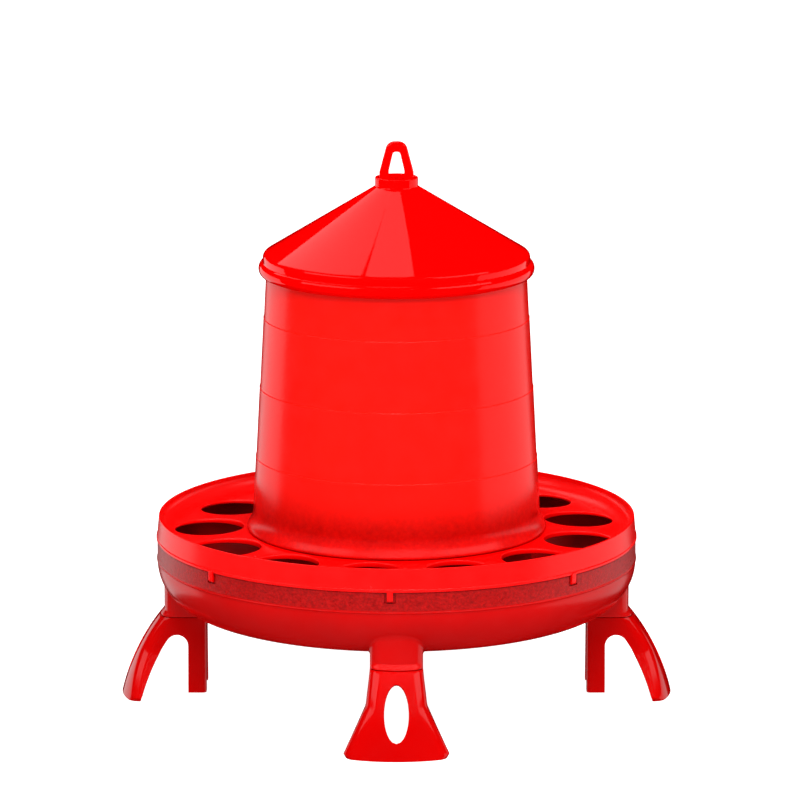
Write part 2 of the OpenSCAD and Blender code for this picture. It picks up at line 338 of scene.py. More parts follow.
class Nodes:
    """A short way to lay out a material's nodes."""

    def __init__(self, name):
        self.material = bpy.data.materials.new(name)
        self.material.use_nodes = True
        self.tree = self.material.node_tree
        self.shader = self.tree.nodes["Principled BSDF"]
        self.place = self.tree.nodes.new("ShaderNodeTexCoord").outputs["Object"]

    def link(self, source, target):
        self.tree.links.new(source, target)

    def noise(self, scale, detail=3, roughness=0.5):
        node = self.tree.nodes.new("ShaderNodeTexNoise")
        node.inputs["Scale"].default_value = scale
        node.inputs["Detail"].default_value = detail
        node.inputs["Roughness"].default_value = roughness
        self.link(self.place, node.inputs["Vector"])
        return node.outputs["Fac"]

    def height(self):
        node = self.tree.nodes.new("ShaderNodeSeparateXYZ")
        self.link(self.place, node.inputs["Vector"])
        return node.outputs["Z"]

    def spread(self, source, low, high, to_low=0.0, to_high=1.0, smooth=False):
        node = self.tree.nodes.new("ShaderNodeMapRange")
        if smooth:
            node.interpolation_type = "SMOOTHSTEP"
        self.link(source, node.inputs["Value"])
        for socket, value in (("From Min", low), ("From Max", high),
                              ("To Min", to_low), ("To Max", to_high)):
            node.inputs[socket].default_value = value
        return node.outputs["Result"]

    def math(self, operation, first, second):
        node = self.tree.nodes.new("ShaderNodeMath")
        node.operation = operation
        for socket, value in zip(node.inputs, (first, second)):
            if isinstance(value, (int, float)):
                socket.default_value = value
            else:
                self.link(value, socket)
        return node.outputs["Value"]

    def mix(self, factor, first, second):
        node = self.tree.nodes.new("ShaderNodeMix")
        node.data_type = "RGBA"
        self.link(factor, node.inputs["Factor"])
        for socket, value in ((node.inputs["A"], first), (node.inputs["B"], second)):
            if isinstance(value, tuple):
                socket.default_value = (*value, 1)
            else:
                self.link(value, socket)
        return node.outputs["Result"]

    def bump(self, height, strength, distance, under=None):
        node = self.tree.nodes.new("ShaderNodeBump")
        node.inputs["Strength"].default_value = strength
        node.inputs["Distance"].default_value = distance
        self.link(height, node.inputs["Height"])
        if under:
            self.link(under, node.inputs["Normal"])
        return node.outputs["Normal"]


def moulded(name, colour, shade, rough=(0.2, 0.3), specular=0.5, bump=0.05, wave=0.05):
    """Injection-moulded plastic: slight flow clouds in its colour, fine grain, a hint of waviness."""
    n = Nodes(name)
    cloud = n.spread(n.noise(14, 4), 0.3, 0.7)
    speck = n.spread(n.noise(700, 2), 0.3, 0.7)
    tone = n.mix(cloud, colour, shade)
    tone = n.mix(n.math("MULTIPLY", speck, 0.10), tone, shade)
    n.link(tone, n.shader.inputs["Base Color"])
    scuff = n.spread(n.noise(60, 5, 0.65), 0.3, 0.75, *rough)
    n.link(scuff, n.shader.inputs["Roughness"])
    normal = n.bump(n.noise(9, 2), wave, 0.004)
    normal = n.bump(n.noise(1500, 2), bump, 0.0002, normal)
    n.link(normal, n.shader.inputs["Normal"])
    n.shader.inputs["Specular IOR Level"].default_value = specular
    return n


def lid_plastic():
    return moulded("lid_gloss", (0.93, 0.0003, 0.0003), (0.88, 0.0003, 0.0003),
                   rough=(0.03, 0.05), specular=0.42, bump=0.0, wave=0.0).material


def ring_plastic():
    return moulded("ring_gloss", (0.93, 0.0002, 0.0002), (0.84, 0.0002, 0.0002),
                   rough=(0.2, 0.28), specular=0.42, bump=0.015, wave=0.02).material


def leg_plastic():
    return moulded("leg_gloss", (0.56, 0.0002, 0.0002), (0.48, 0.0002, 0.0002),
                   rough=(0.08, 0.13), specular=0.5, bump=0.015, wave=0.012).material


def hopper_plastic():
    """Satin, slightly milky; a darker grainy zone above the foot is painted shade, standing in for the
    dark inside seen through the wall.
    """
    n = moulded("hopper_satin", (0.97, 0.0045, 0.0005), (0.92, 0.003, 0.0005),
                rough=(0.18, 0.25), specular=0.36, bump=0.02, wave=0.012)
    plain = n.shader.inputs["Base Color"].links[0].from_socket
    # Painted shade: the base colour darkens towards the foot, standing in for the dark inside seen
    # through the wall; noise mottles it, and it is less dark right at the foot
    low = n.spread(n.height(), PAINTED_SHADE_FULL_Z * MM, PAINTED_SHADE_TOP_Z * MM, 1, 0, smooth=True)
    grain = n.spread(n.noise(220, 4, 0.7), 0.25, 0.75, 0.6, 1)
    foot = n.spread(n.height(), FOOT_Z * MM + 0.006, FOOT_Z * MM + 0.024, 1, 0, smooth=True)
    painted_shade_tone = n.mix(foot, (0.25, 0.0003, 0.0003), (0.5, 0.0005, 0.0005))
    n.link(n.mix(n.math("MULTIPLY", low, grain), plain, painted_shade_tone), n.shader.inputs["Base Color"])
    return n.material


def tray_plastic():
    """Satin bowl with a grained band round the top of its wall; the band's darker colour is painted
    shade, for the dark inside seen through the wall.
    """
    n = moulded("tray_satin", (0.62, 0.0004, 0.0004), (0.54, 0.0004, 0.0004),
                rough=(0.17, 0.23), specular=0.42, bump=0.02, wave=0.02)
    plain = n.shader.inputs["Base Color"].links[0].from_socket
    smooth_normal = n.shader.inputs["Normal"].links[0].from_socket
    height = n.height()
    # Painted shade: the band is darker, standing in for the dark inside seen through it; its grain and
    # extra roughness are the band's own finish
    edge = BAND_LOW_Z * MM
    band = n.math("MULTIPLY", n.spread(height, edge, edge + 0.0006),
                  n.spread(height, BAND_TOP_Z * MM, (BAND_TOP_Z + 0.5) * MM, 1, 0))
    grain = n.spread(n.noise(420, 5, 0.75), 0.3, 0.7)
    painted_shade_tone = n.mix(grain, (0.2, 0.0004, 0.0004), (0.56, 0.002, 0.002))
    n.link(n.mix(band, plain, painted_shade_tone), n.shader.inputs["Base Color"])
    rough = n.shader.inputs["Roughness"].links[0].from_socket
    n.link(n.math("ADD", rough, n.math("MULTIPLY", band, 0.1)), n.shader.inputs["Roughness"])
    n.link(n.bump(n.math("MULTIPLY", grain, band), 0.5, 0.0003, smooth_normal),
           n.shader.inputs["Normal"])
    return n.material


def tray_inside_shade_plastic():
    """The tray's inside: a darker red, painted shade for the shadowed inside of the bowl."""
    return moulded("tray_inside", (0.34, 0.001, 0.001), (0.2, 0.0008, 0.0008),
                   rough=(0.35, 0.5), specular=0.25, bump=0.05).material


def inner_plastic():
    return moulded("inner_satin", (0.5, 0.002, 0.002), (0.4, 0.002, 0.002),
                   rough=(0.35, 0.5), bump=0.06).material


def nylon():
    return moulded("nylon_grey", (0.45, 0.45, 0.44), (0.36, 0.36, 0.35),
                   rough=(0.4, 0.55), bump=0.05).material


def floor_white():
    """A white table that glows, so that no shadow shows on it."""
    n = moulded("floor_white", (0.4, 0.4, 0.4), (0.39, 0.39, 0.39), rough=(0.8, 0.9),
                specular=0.1, bump=0.02, wave=0)
    n.shader.inputs["Emission Color"].default_value = (1, 1, 1, 1)
    n.shader.inputs["Emission Strength"].default_value = 1.05
    return n.material


# ---- Tray ----

def bowl_z(r):
    """Height of the tray's outside surface at a distance from the axis."""
    if r <= CORNER_X:
        return TRAY_FLOOR_Z
    return CORNER_Z - math.sqrt(max(0, CORNER_R ** 2 - (r - CORNER_X) ** 2))


def tray_profile():
    bead_z = CORNER_Z + 1.3
    inside_r = CORNER_R - TRAY_WALL
    return (
        [(0.01, TRAY_FLOOR_Z)]
        + arc(CORNER_X, CORNER_Z, CORNER_R, -90, 0, 28)
        + arc(TRAY_R - 0.3, bead_z, 0.9, -60, 60, 6)
        + rounded([(TRAY_R, bead_z + 1.5), (TRAY_R, BAND_TOP_Z, 0.6), (LAP_R, BAND_TOP_Z, 0.4),
                   (LAP_R, TRAY_TOP_Z, 0.9), (LAP_R - LAP_WALL, TRAY_TOP_Z, 0.9),
                   (LAP_R - LAP_WALL, BAND_TOP_Z - 2, 1.5), (TRAY_R - TRAY_WALL, BAND_TOP_Z - 8, 3),
                   (TRAY_R - TRAY_WALL, CORNER_Z)], closed=False)
        + arc(CORNER_X, CORNER_Z, inside_r, 0, -90, 28)
        + [(0.01, TRAY_FLOOR_Z + TRAY_WALL)])


def pockets():
    shape = Shape()
    pocket = Shape().box((POCKET_R, -POCKET_W / 2, BAND_TOP_Z - POCKET_H),
                         (POCKET_R + 8, POCKET_W / 2, BAND_TOP_Z + 1))
    for angle in CLIP_ANGLES:
        shape.join(pocket.turned(angle))
    return shape


def stem_section(out_x, inset, z, corner_steps=7, front_steps=12):
    """Outline of the stem at a height: flat sides and back, bulging front, rounded edges.

    The outline runs from the middle of the back, round by the +Y side, and has points (x, y, z).
    """
    half = STEM_W / 2 - inset
    back_x = STEM_IN_X + inset
    big_r = out_x - inset - FACE_AXIS_X
    edge_r = LEG_EDGE_R - inset
    back_r = max(0.5, LEG_BACK_EDGE_R - inset)
    corner_y = half - edge_r
    corner_x = FACE_AXIS_X + math.sqrt((big_r - edge_r) ** 2 - corner_y ** 2)
    turn = math.degrees(math.asin(corner_y / (big_r - edge_r)))
    side = arc(back_x + back_r, half - back_r, back_r, 180, 90, 5)
    side += [(back_x + back_r + (corner_x - back_x - back_r) * t / 4, half) for t in (1, 2, 3)]
    side += arc(corner_x, corner_y, edge_r, 90, turn, corner_steps)
    front = arc(FACE_AXIS_X, 0, big_r, turn, 0, front_steps // 2)[1:]
    whole = [(back_x, 0)] + side + front
    whole += [(x, -y) for x, y in reversed(whole[1:-1])]
    return [(x, y, z) for x, y in whole]


def stem_front_x(z):
    """Distance of the stem's front from the axis: the leg's arc below, upright above."""
    return max(STEM_OUT_X, ARC_X + math.sqrt(ARC_R ** 2 - (z - ARC_Z) ** 2))


def join_rows(column, steps=5, flare=2.4, rise=3.2):
    """Rows that carry a column's outline up and flare it out onto the tray's underside."""
    count = len(column)
    rows = [[] for _ in range(steps + 1)]
    for i in range(count):
        here = Vector(column[i][:2])
        along = Vector(column[(i + 1) % count][:2]) - Vector(column[i - 1][:2])
        out = Vector((-along.y, along.x)).normalized()
        if out.dot(here - Vector((STEM_MIDDLE_X, 0))) < 0:
            out = -out
        end = here + out * flare
        start_z = bowl_z(here.length) - rise
        bend_z = bowl_z(here.length)
        end_z = bowl_z(end.length) + 0.35
        for k in range(steps + 1):
            t = k / steps
            place = here + (end - here) * t * t
            z = start_z * (1 - t) ** 2 + bend_z * 2 * t * (1 - t) + end_z * t * t
            rows[k].append((place.x, place.y, z))
    return rows


def socket_shape():
    """One leg socket: a hollow stem under the tray."""
    low = [JOINT_Z, JOINT_Z + 0.25, JOINT_Z + 0.8]
    insets = [0.8, 0.25, 0]
    heights = [JOINT_Z + 2.5, JOINT_Z + 4.5]
    rows = [stem_section(stem_front_x(z), LEG_WALL, z) for z in (JOINT_Z + 6, JOINT_Z + 0.6)]
    rows.append(stem_section(stem_front_x(JOINT_Z), LEG_WALL - 0.6, JOINT_Z))
    rows += [stem_section(stem_front_x(z), inset, z) for z, inset in zip(low, insets)]
    rows += [stem_section(stem_front_x(z), 0, z) for z in heights]
    column = stem_section(STEM_OUT_X, 0, JOINT_Z + 7.4)
    rows.append(column)
    rows += join_rows(column)
    inner = stem_section(STEM_OUT_X, LEG_WALL, 0)
    rows.insert(0, [(x, y, bowl_z(math.hypot(x, y)) + 0.4) for x, y, _ in inner])
    return Shape().rows(rows, loop_columns=True)


def make_tray(material, shaded_inside_material):
    piece = link("tray_shell", Shape().spin(tray_profile(), 256).mesh("tray_shell"))
    cut(piece, pockets())
    finish_piece(piece, material, "tray", "tray_red", "tray")
    # Faces inside the bowl, below the band's top, get the darker inside material: painted shade
    piece.data.materials.append(shaded_inside_material)
    for face in piece.data.polygons:
        inward = face.normal.dot(Vector((*face.center[:2], 0))) < 0 or face.normal.z > 0.5
        face.material_index = int(inward and face.center.z < BAND_TOP_Z * MM - 0.001)
    for name, angle in LEG_ANGLES.items():
        socket = link("socket_" + name, socket_shape().turned(angle).mesh("socket_" + name))
        finish_piece(socket, material, "tray", "tray_red")


# ---- Feeding ring ----

def plate_z(r):
    slope = (PLATE_OUT_Z - PLATE_IN_Z) / (PLATE_OUT_R - PLATE_IN_R)
    return PLATE_IN_Z + slope * (r - PLATE_IN_R)


def ring_top_z(r):
    """Top of the plate, and of the cove that carries it up to the rim."""
    if r <= COVE_X:
        return plate_z(r)
    lift = COVE_Z - math.sqrt(COVE_R ** 2 - (r - COVE_X) ** 2)
    return max(lift, plate_z(r))


def ring_under_z(r):
    if r <= COVE_X:
        return plate_z(r) - RING_WALL
    outer_r = COVE_R + RING_WALL
    return min(COVE_Z - math.sqrt(outer_r ** 2 - (r - COVE_X) ** 2), ring_top_z(r) - RING_WALL)


def sector_border(in_r, out_r, side_steps, out_steps, in_steps):
    """Points (angle, r) round one sector of the plate, counter-clockwise seen from above."""
    half = 180 / HOLE_COUNT
    border = [(-half, in_r + (out_r - in_r) * i / side_steps) for i in range(side_steps)]
    border += [(-half + 2 * half * i / out_steps, out_r) for i in range(out_steps)]
    border += [(half, out_r + (in_r - out_r) * i / side_steps) for i in range(side_steps)]
    border += [(half - 2 * half * i / in_steps, in_r) for i in range(in_steps)]
    return border


def sector_shape(in_r, out_r, out_steps, in_steps):
    """One sector of the pierced plate, drawn along +X: top, rounded lip and underside."""
    border = []
    for angle, r in sector_border(in_r, out_r, 18, out_steps, in_steps):
        border.append(Vector((r * math.cos(math.radians(angle)), r * math.sin(math.radians(angle)))))
    centre = Vector((HOLE_CIRCLE_R, 0))
    fillet = 1.3
    top_rings = [1, 0.72, 0.45, 0.2]
    rows = []

    def ring_of(share, grow, height):
        row = []
        for edge in border:
            out = (edge - centre).normalized()
            inner = centre + out * (HOLE_R + grow)
            place = inner.lerp(edge, share)
            row.append((place.x, place.y, height(place.length)))
        rows.append(row)

    for share in top_rings:
        ring_of(share, fillet, ring_top_z)
    for k in range(5):
        turn = math.radians(90 * k / 4)
        ring_of(0, fillet * (1 - math.sin(turn)),
                lambda r, drop=fillet * (1 - math.cos(turn)): ring_top_z(r) - drop)
    ring_of(0, 0, lambda r: LIP_Z + 0.5)
    ring_of(0, 0.15, lambda r: LIP_Z + 0.15)
    ring_of(0, 0.5, lambda r: LIP_Z)
    ring_of(0, RING_WALL - 0.5, lambda r: LIP_Z)
    ring_of(0, RING_WALL, lambda r: LIP_Z + 0.05)
    ring_of(0, RING_WALL, lambda r: max(LIP_Z + 0.06, ring_under_z(r) - 0.6))
    ring_of(0, RING_WALL + 0.8, ring_under_z)
    for share in (0.45, 1):
        ring_of(share, RING_WALL + 0.8, ring_under_z)
    return Shape().rows(rows, loop_columns=True)


def cove_points(radius, start_x, end_x, height, steps):
    """Points along the cove between two distances from the axis, evenly spaced in angle."""
    start = math.degrees(math.acos((start_x - COVE_X) / radius))
    end = math.degrees(math.acos(min(1, (end_x - COVE_X) / radius)))
    points = []
    for i in range(steps + 1):
        angle = math.radians(start + (end - start) * i / steps)
        points.append((COVE_X + radius * math.cos(angle), COVE_Z - radius * math.sin(angle)))
    points[0] = (start_x, height(start_x))
    return points


def make_ring(material):
    in_r, out_r = 128, 202
    out_steps, in_steps = 20, 16
    shape = Shape()
    sector = sector_shape(in_r, out_r, out_steps, in_steps)
    for i in range(HOLE_COUNT):
        shape.join(sector.turned(HOLE_TURN + i * 360 / HOLE_COUNT))

    half_sector = 180 / HOLE_COUNT
    cove_top = cove_points(COVE_R, out_r, COVE_X + COVE_R * 0.9945, ring_top_z, 12)
    cove_under = cove_points(COVE_R + RING_WALL, out_r, LAP_R + GAP, ring_under_z, 6)
    rim = (cove_top[:-1] + rounded([
        cove_top[-1], (RIM_IN_R, RIM_TOP_Z, 0.6), (TRAY_R - 1.5, RIM_TOP_Z, 0.7),
        (TRAY_R + 0.1, RIM_FOOT_Z + 2.9, 0.6), (RIM_LIP_R, RIM_FOOT_Z + 2.2, 0.5),
        (RIM_LIP_R, RIM_FOOT_Z, 0.5), (LAP_R + GAP, RIM_FOOT_Z, 0.3)], closed=False)
        + cove_under[::-1])
    outside = Shape().spin(rim, out_steps * HOLE_COUNT, closed=False)
    inner_z = PLATE_IN_Z - 8
    collar = rounded([
        (in_r, ring_top_z(in_r)), (PLATE_IN_R, PLATE_IN_Z + 0.2, 1.2), (PLATE_IN_R, inner_z, 0.6),
        (PLATE_IN_R + RING_WALL, inner_z, 0.6),
        (PLATE_IN_R + RING_WALL, ring_under_z(PLATE_IN_R + RING_WALL), 0.6),
        (in_r, ring_under_z(in_r))], closed=False)
    inside = Shape().spin(collar, in_steps * HOLE_COUNT, closed=False)
    for part in (outside, inside):
        # The spin starts at a sector's edge, so that the two meet point for point
        shape.join(part.turned(90 + HOLE_TURN + half_sector))
    piece = link("feeding_ring_body", shape.mesh("feeding_ring_body", weld=0.02))
    finish_piece(piece, material, "ring", "ring_red", "feeding_ring")

    low_z = RIM_FOOT_Z - CLIP_DROP
    side = rounded([(POCKET_R + GAP, RIM_FOOT_Z + 2), (POCKET_R + GAP, low_z, 0.4),
                    (POCKET_R + GAP + 2.2, low_z, 0.8), (POCKET_R + GAP + 3, low_z + 1.6, 0.8),
                    (POCKET_R + GAP + 3, RIM_FOOT_Z + 2, 0.8)], closed=True)
    clips = Shape()
    clip = Shape().prism([[(x, y, z) for x, z in side] for y in (-CLIP_W / 2, CLIP_W / 2)])
    for angle in CLIP_ANGLES:
        clips.join(clip.turned(angle))
    clips_piece = link("ring_clips", clips.mesh("ring_clips"))
    soften(clips_piece, 0.45, 3)
    finish_piece(clips_piece, material, "ring", "ring_red")


# ---- Hopper ----

def hopper_r(z, steps):
    return HOPPER_TOP_R + (HOPPER_TOP_Z - z) * HOPPER_TAPER + steps * LEVEL_STEP


def make_hopper(material):
    levels = [LEVEL_START_Z + LEVEL_PITCH * i for i in (3, 2, 1)]
    flare_z = FOOT_Z + FLARE_H
    flare_r = hopper_r(flare_z, 3)
    spread = FOOT_R - flare_r
    wall = [(HOPPER_TOP_R - HOPPER_WALL, HOPPER_TOP_Z, 0.7), (HOPPER_TOP_R, HOPPER_TOP_Z, 0.7)]
    for i, z in enumerate(levels):
        # A fine raised line marks each level
        wall += [(hopper_r(z, i), z + 0.9, 0.3), (hopper_r(z, i + 1) + 0.1, z + 0.35, 0.3),
                 (hopper_r(z, i + 1), z - 0.7)]
    flare = []
    for i in range(13):
        t = i / 12
        flare.append((flare_r + spread * t ** FLARE_CURVE, flare_z + (FOOT_Z + 2.2 - flare_z) * t))
    foot = [(FOOT_R, FOOT_Z, 0.7), (flare_r, FOOT_Z, 0.4), (flare_r, FOOT_Z + 0.8, 0.4),
            (FOOT_R - HOPPER_WALL - 1, FOOT_Z + 0.8)]
    inner = []
    for i in range(12, -1, -1):
        t = i / 12
        inner.append((flare_r - HOPPER_WALL + spread * t ** FLARE_CURVE,
                      flare_z + (FOOT_Z + 3.6 - flare_z) * t))
    # The foot ends in a small bead
    bead = [(FOOT_R - 0.15, FOOT_Z + 1.9, 0.3), (FOOT_R, FOOT_Z + 1.3, 0.5)]
    profile = rounded(wall + flare[:-1] + bead + foot + inner, steps=4)
    piece = link("hopper_wall", Shape().spin(profile, 256).mesh("hopper_wall"))
    finish_piece(piece, material, "hopper", "hopper_red", "hopper")


# ---- Lid ----

def lid_profile():
    slope = math.tan(LID_SLOPE)
    seat_r = HOPPER_TOP_R + 1.7
    collar_r = HOPPER_TOP_R - HOPPER_WALL - 0.8
    collar_low = HOPPER_TOP_Z - COLLAR_H
    collar_in_r = collar_r - COLLAR_WALL
    bore_r = PIN_R + PIN_CLEARANCE

    def under_z(r):
        return SHOULDER_Z + (SKIRT_R - r) * slope - LID_WALL / math.cos(LID_SLOPE)

    bead_top = BEAD_Z + BEAD_H / 2
    bead_low = BEAD_Z - BEAD_H / 2
    bulge = BEAD_R - SKIRT_R
    bead = []
    for i in range(17):
        turn = math.radians(80 - 160 * i / 16)
        bead.append((SKIRT_R + bulge * (math.cos(turn) - 0.15) / 0.85,
                     BEAD_Z + (BEAD_H / 2 - 0.2) * math.sin(turn)))
    outer = [(bore_r, CUP_FLOOR_Z, 0.3), (CUP_R - 2.2, CUP_FLOOR_Z, 0.8),
             (CUP_R - 2.2, CUP_TOP_Z, 0.9), (CUP_R, CUP_TOP_Z, 0.9), (CUP_R, CUP_Z, 1.6),
             (SKIRT_R, SHOULDER_Z, 4.5), (SKIRT_R, bead_top, 0.8)]
    inner = [(seat_r, bead_low, 0.8), (seat_r, under_z(seat_r) - 0.5, 0.8),
             (collar_r, under_z(collar_r), 0.8), (collar_r, collar_low, 0.6),
             (collar_in_r, collar_low, 0.6), (collar_in_r, under_z(collar_in_r), 0.8),
             (RETAINER_SEAT_R, under_z(RETAINER_SEAT_R)), (RETAINER_SEAT_R, RETAINER_Z),
             (bore_r, RETAINER_Z)]
    return rounded(outer + bead + inner)


def make_lid(material):
    piece = link("lid_shell", Shape().spin(lid_profile(), 256).mesh("lid_shell"))
    finish_piece(piece, material, "lid", "lid_red", "lid")


# ---- Hanging loop ----

def bow_outline(width, top_w, low_z, bend_z, top_z, top_r, steps=10):
    """Half-symmetric outline of the loop in the XZ plane: upright, leaning in, round on top."""
    lean = math.degrees(math.atan((width - top_w) / 2 / (top_z - bend_z)))
    right = [(width / 2, low_z), (width / 2, bend_z, 4)]
    right += arc(top_w / 2 - top_r, top_z - top_r, top_r, lean, 90, steps)
    right = rounded(right, closed=False)
    return right + [(-x, z) for x, z in reversed(right)]


def make_loop(material):
    foot_z = CUP_FLOOR_Z + 0.1
    bow_z = foot_z + 3
    outer = bow_outline(LOOP_W, 19.4, bow_z - 1, CUP_TOP_Z + 4, LOOP_TOP_Z, 8)
    eye = bow_outline(13.4, 6.8, bow_z + 0.4, CUP_TOP_Z + 6, LOOP_TOP_Z - LOOP_BAR, 2.6)
    curve = bpy.data.curves.new("bow", "CURVE")
    curve.dimensions = "2D"
    curve.fill_mode = "BOTH"
    edge_r = 1.6
    curve.extrude = (LOOP_BAR / 2 - edge_r) * MM
    curve.bevel_depth = edge_r * MM
    curve.bevel_resolution = 4
    curve.offset = -edge_r * MM
    for outline in (outer, eye):
        spline = curve.splines.new("POLY")
        spline.points.add(len(outline) - 1)
        for point, (x, z) in zip(spline.points, outline):
            point.co = (x * MM, z * MM, 0, 1)
        spline.use_cyclic_u = True
    bow = bpy.data.objects.new("loop_bow", curve)
    bpy.context.scene.collection.objects.link(bow)
    graph = bpy.context.evaluated_depsgraph_get()
    mesh = bpy.data.meshes.new_from_object(bow.evaluated_get(graph))
    mesh.transform(Matrix.Rotation(math.pi / 2, 4, "X"))
    bpy.data.objects.remove(bow)
    piece = link("hanging_loop_bow", mesh)
    finish_piece(piece, material, "loop", "loop_red", "hanging_loop")

    tip_z = RETAINER_Z - 3.4
    base = rounded([(0.01, tip_z), (3.4, tip_z, 0.6), (3.4, RETAINER_Z - 0.2),
                    (PIN_R, RETAINER_Z - 0.2, 0.3),
                    (PIN_R, foot_z), (LOOP_W / 2 + 0.6, foot_z, 0.4),
                    (LOOP_W / 2 + 0.6, foot_z + 3, 0.9), (0.01, foot_z + 3)], closed=False)
    foot = link("hanging_loop_base", Shape().spin(base, 96, closed=False).mesh("hanging_loop_base"))
    finish_piece(foot, material, "loop", "loop_red")


def make_retainer(material):
    low, high = RETAINER_Z - 2.4, RETAINER_Z - 0.2
    ring = rounded([(3.4, low, 0.4), (10, low, 0.6), (10, high, 0.6), (3.4, high, 0.4)])
    piece = link("push_on_washer", Shape().spin(ring, 72).mesh("push_on_washer"))
    finish_piece(piece, material, "loop", "retainer_grey", "loop_retainer")


# ---- Legs ----

def foot_half_width(z):
    return line_through(z, [(0, 43.3), (3, 45.3), (41.5, 26.3), (JOINT_Z, STEM_W / 2)])


def prong_half_width(z):
    return line_through(z, [(PRONG_Z, 28.3), (60, STEM_W / 2), (JOINT_Z, STEM_W / 2)])


def wall_y(x, z):
    """Half-width of the leg: the wide foot in front, the narrow prongs behind, blended over the arch."""
    share = smooth_step(x, ARCH_IN_X, ARCH_IN_X + 20)
    return prong_half_width(z) * (1 - share) + foot_half_width(z) * share


ROUND_X = ARCH_IN_X + ARCH_ROUND
ROUND_Z = ARC_Z + math.sqrt((ARCH_R - ARCH_ROUND) ** 2 - (ROUND_X - ARC_X) ** 2)
ARCH_TOP_Z = ROUND_Z + ARCH_ROUND


def arch_front_x(z):
    """Where the foot's side wall ends at the arch: a long arc that runs into the round top."""
    meet_z = ARC_Z + (ROUND_Z - ARC_Z) * ARCH_R / (ARCH_R - ARCH_ROUND)
    if z >= ARCH_TOP_Z:
        return ROUND_X
    if z <= meet_z:
        return ARC_X + math.sqrt(ARCH_R ** 2 - (z - ARC_Z) ** 2)
    return ROUND_X + math.sqrt(ARCH_ROUND ** 2 - (z - ROUND_Z) ** 2)


def arch_back_x(z):
    if z >= ARCH_TOP_Z:
        return ROUND_X
    if z <= ROUND_Z:
        return ARCH_IN_X
    return ROUND_X - math.sqrt(ARCH_ROUND ** 2 - (z - ROUND_Z) ** 2)


def foot_row(z, side_steps=8, corner_steps=7, front_steps=16):
    """One level row of the leg's front part, from the arch's +Y edge round the face to its -Y edge."""
    big_r = stem_front_x(z) - FACE_AXIS_X
    half = foot_half_width(z)
    corner_y = half - LEG_EDGE_R
    corner_x = FACE_AXIS_X + math.sqrt((big_r - LEG_EDGE_R) ** 2 - corner_y ** 2)
    turn = math.degrees(math.asin(corner_y / (big_r - LEG_EDGE_R)))
    start = arch_front_x(z)
    side = []
    for i in range(side_steps):
        x = start + (corner_x - start) * i / side_steps
        side.append((x, wall_y(x, z)))
    side += arc(corner_x, corner_y, LEG_EDGE_R, 90, turn, corner_steps)
    front = arc(FACE_AXIS_X, 0, big_r, turn, -turn, front_steps)[1:-1]
    return [(x, y, z) for x, y in side + front + [(x, -y) for x, y in reversed(side)]]


def prong_row(z, side_steps=5, corner_steps=5, back_steps=6):
    """One level row of the leg's back part, from the arch's -Y edge round the back to its +Y edge."""
    half = prong_half_width(z)
    start = arch_back_x(z)
    corner_x = STEM_IN_X + LEG_BACK_EDGE_R
    side = []
    for i in range(side_steps):
        x = start + (corner_x - start) * i / side_steps
        side.append((x, wall_y(x, z)))
    side += arc(corner_x, half - LEG_BACK_EDGE_R, LEG_BACK_EDGE_R, 90, 180, corner_steps)
    edge = half - LEG_BACK_EDGE_R
    back = [(STEM_IN_X, edge - 2 * edge * i / back_steps) for i in range(1, back_steps)]
    row = side + back + [(x, -y) for x, y in reversed(side)]
    return [(x, y, z) for x, y in reversed(row)]


def oval_patch(rows, low_row, high_row, left, right):
    """Fills the face between a rectangle of grid points and the oval hole."""
    border = [rows[low_row][i] for i in range(left, right)]
    border += [rows[j][right] for j in range(low_row, high_row)]
    border += [rows[high_row][i] for i in range(right, left, -1)]
    border += [rows[j][left] for j in range(high_row, low_row, -1)]
    patch = []
    for share in (1, 0.8, 0.58, 0.36, 0.16, 0):
        row = []
        for _, y, z in border:
            angle = math.atan2((z - OVAL_Z) / OVAL_H, y / OVAL_W)
            inner = (OVAL_W / 2 * math.cos(angle), OVAL_Z + OVAL_H / 2 * math.sin(angle))
            py = inner[0] + (y - inner[0]) * share
            pz = inner[1] + (z - inner[1]) * share
            big_r = stem_front_x(pz) - FACE_AXIS_X
            row.append((FACE_AXIS_X + math.sqrt(big_r ** 2 - py ** 2), py, pz))
        patch.append(row)
    return Shape().rows(patch, loop_columns=True)


def leg_heights():
    """Level rows: even up to the arch's round top, then closer, then even up to the joint."""
    even = [0, 1, 3] + [3 + (ROUND_Z - 3) * i / 18 for i in range(1, 19)]
    crown = [ROUND_Z + ARCH_ROUND * math.sin(math.radians(9 * i)) for i in range(1, 11)]
    stem = [ARCH_TOP_Z + (LEG_TOP_Z - ARCH_TOP_Z) * i / 6 for i in range(1, 7)]
    return even + crown + stem


def leg_mesh():
    heights = leg_heights()
    foot_rows = [foot_row(z) for z in heights]
    prong_heights = [PRONG_Z] + [z for z in heights if z > PRONG_Z + 1]
    prong_rows = [prong_row(z) for z in prong_heights]
    middle = (len(foot_rows[0]) - 1) // 2
    left, right = middle - 6, middle + 6
    low_row = max(j for j, z in enumerate(heights) if z < OVAL_Z - OVAL_H / 2 - 2)
    high_row = min(j for j, z in enumerate(heights) if z > OVAL_Z + OVAL_H / 2 + 2)
    hole = {(j, i) for j in range(low_row, high_row) for i in range(left, right)}
    shape = Shape().rows(foot_rows, skip=hole)
    shape.join(oval_patch(foot_rows, low_row, high_row, left, right))
    shape.rows(prong_rows)
    return shape.mesh("leg_walls")


def prong_gap_shape():
    """The opening between the two inner prongs, with a round top."""
    crown_z = PRONG_GAP_TOP_Z - PRONG_GAP_R
    outline = [(-PRONG_GAP_R, -5), (PRONG_GAP_R, -5)] + arc(0, crown_z, PRONG_GAP_R, 0, 180, 20)
    return Shape().prism([[(x, y, z) for y, z in outline] for x in (STEM_IN_X - 5, ARCH_IN_X)])


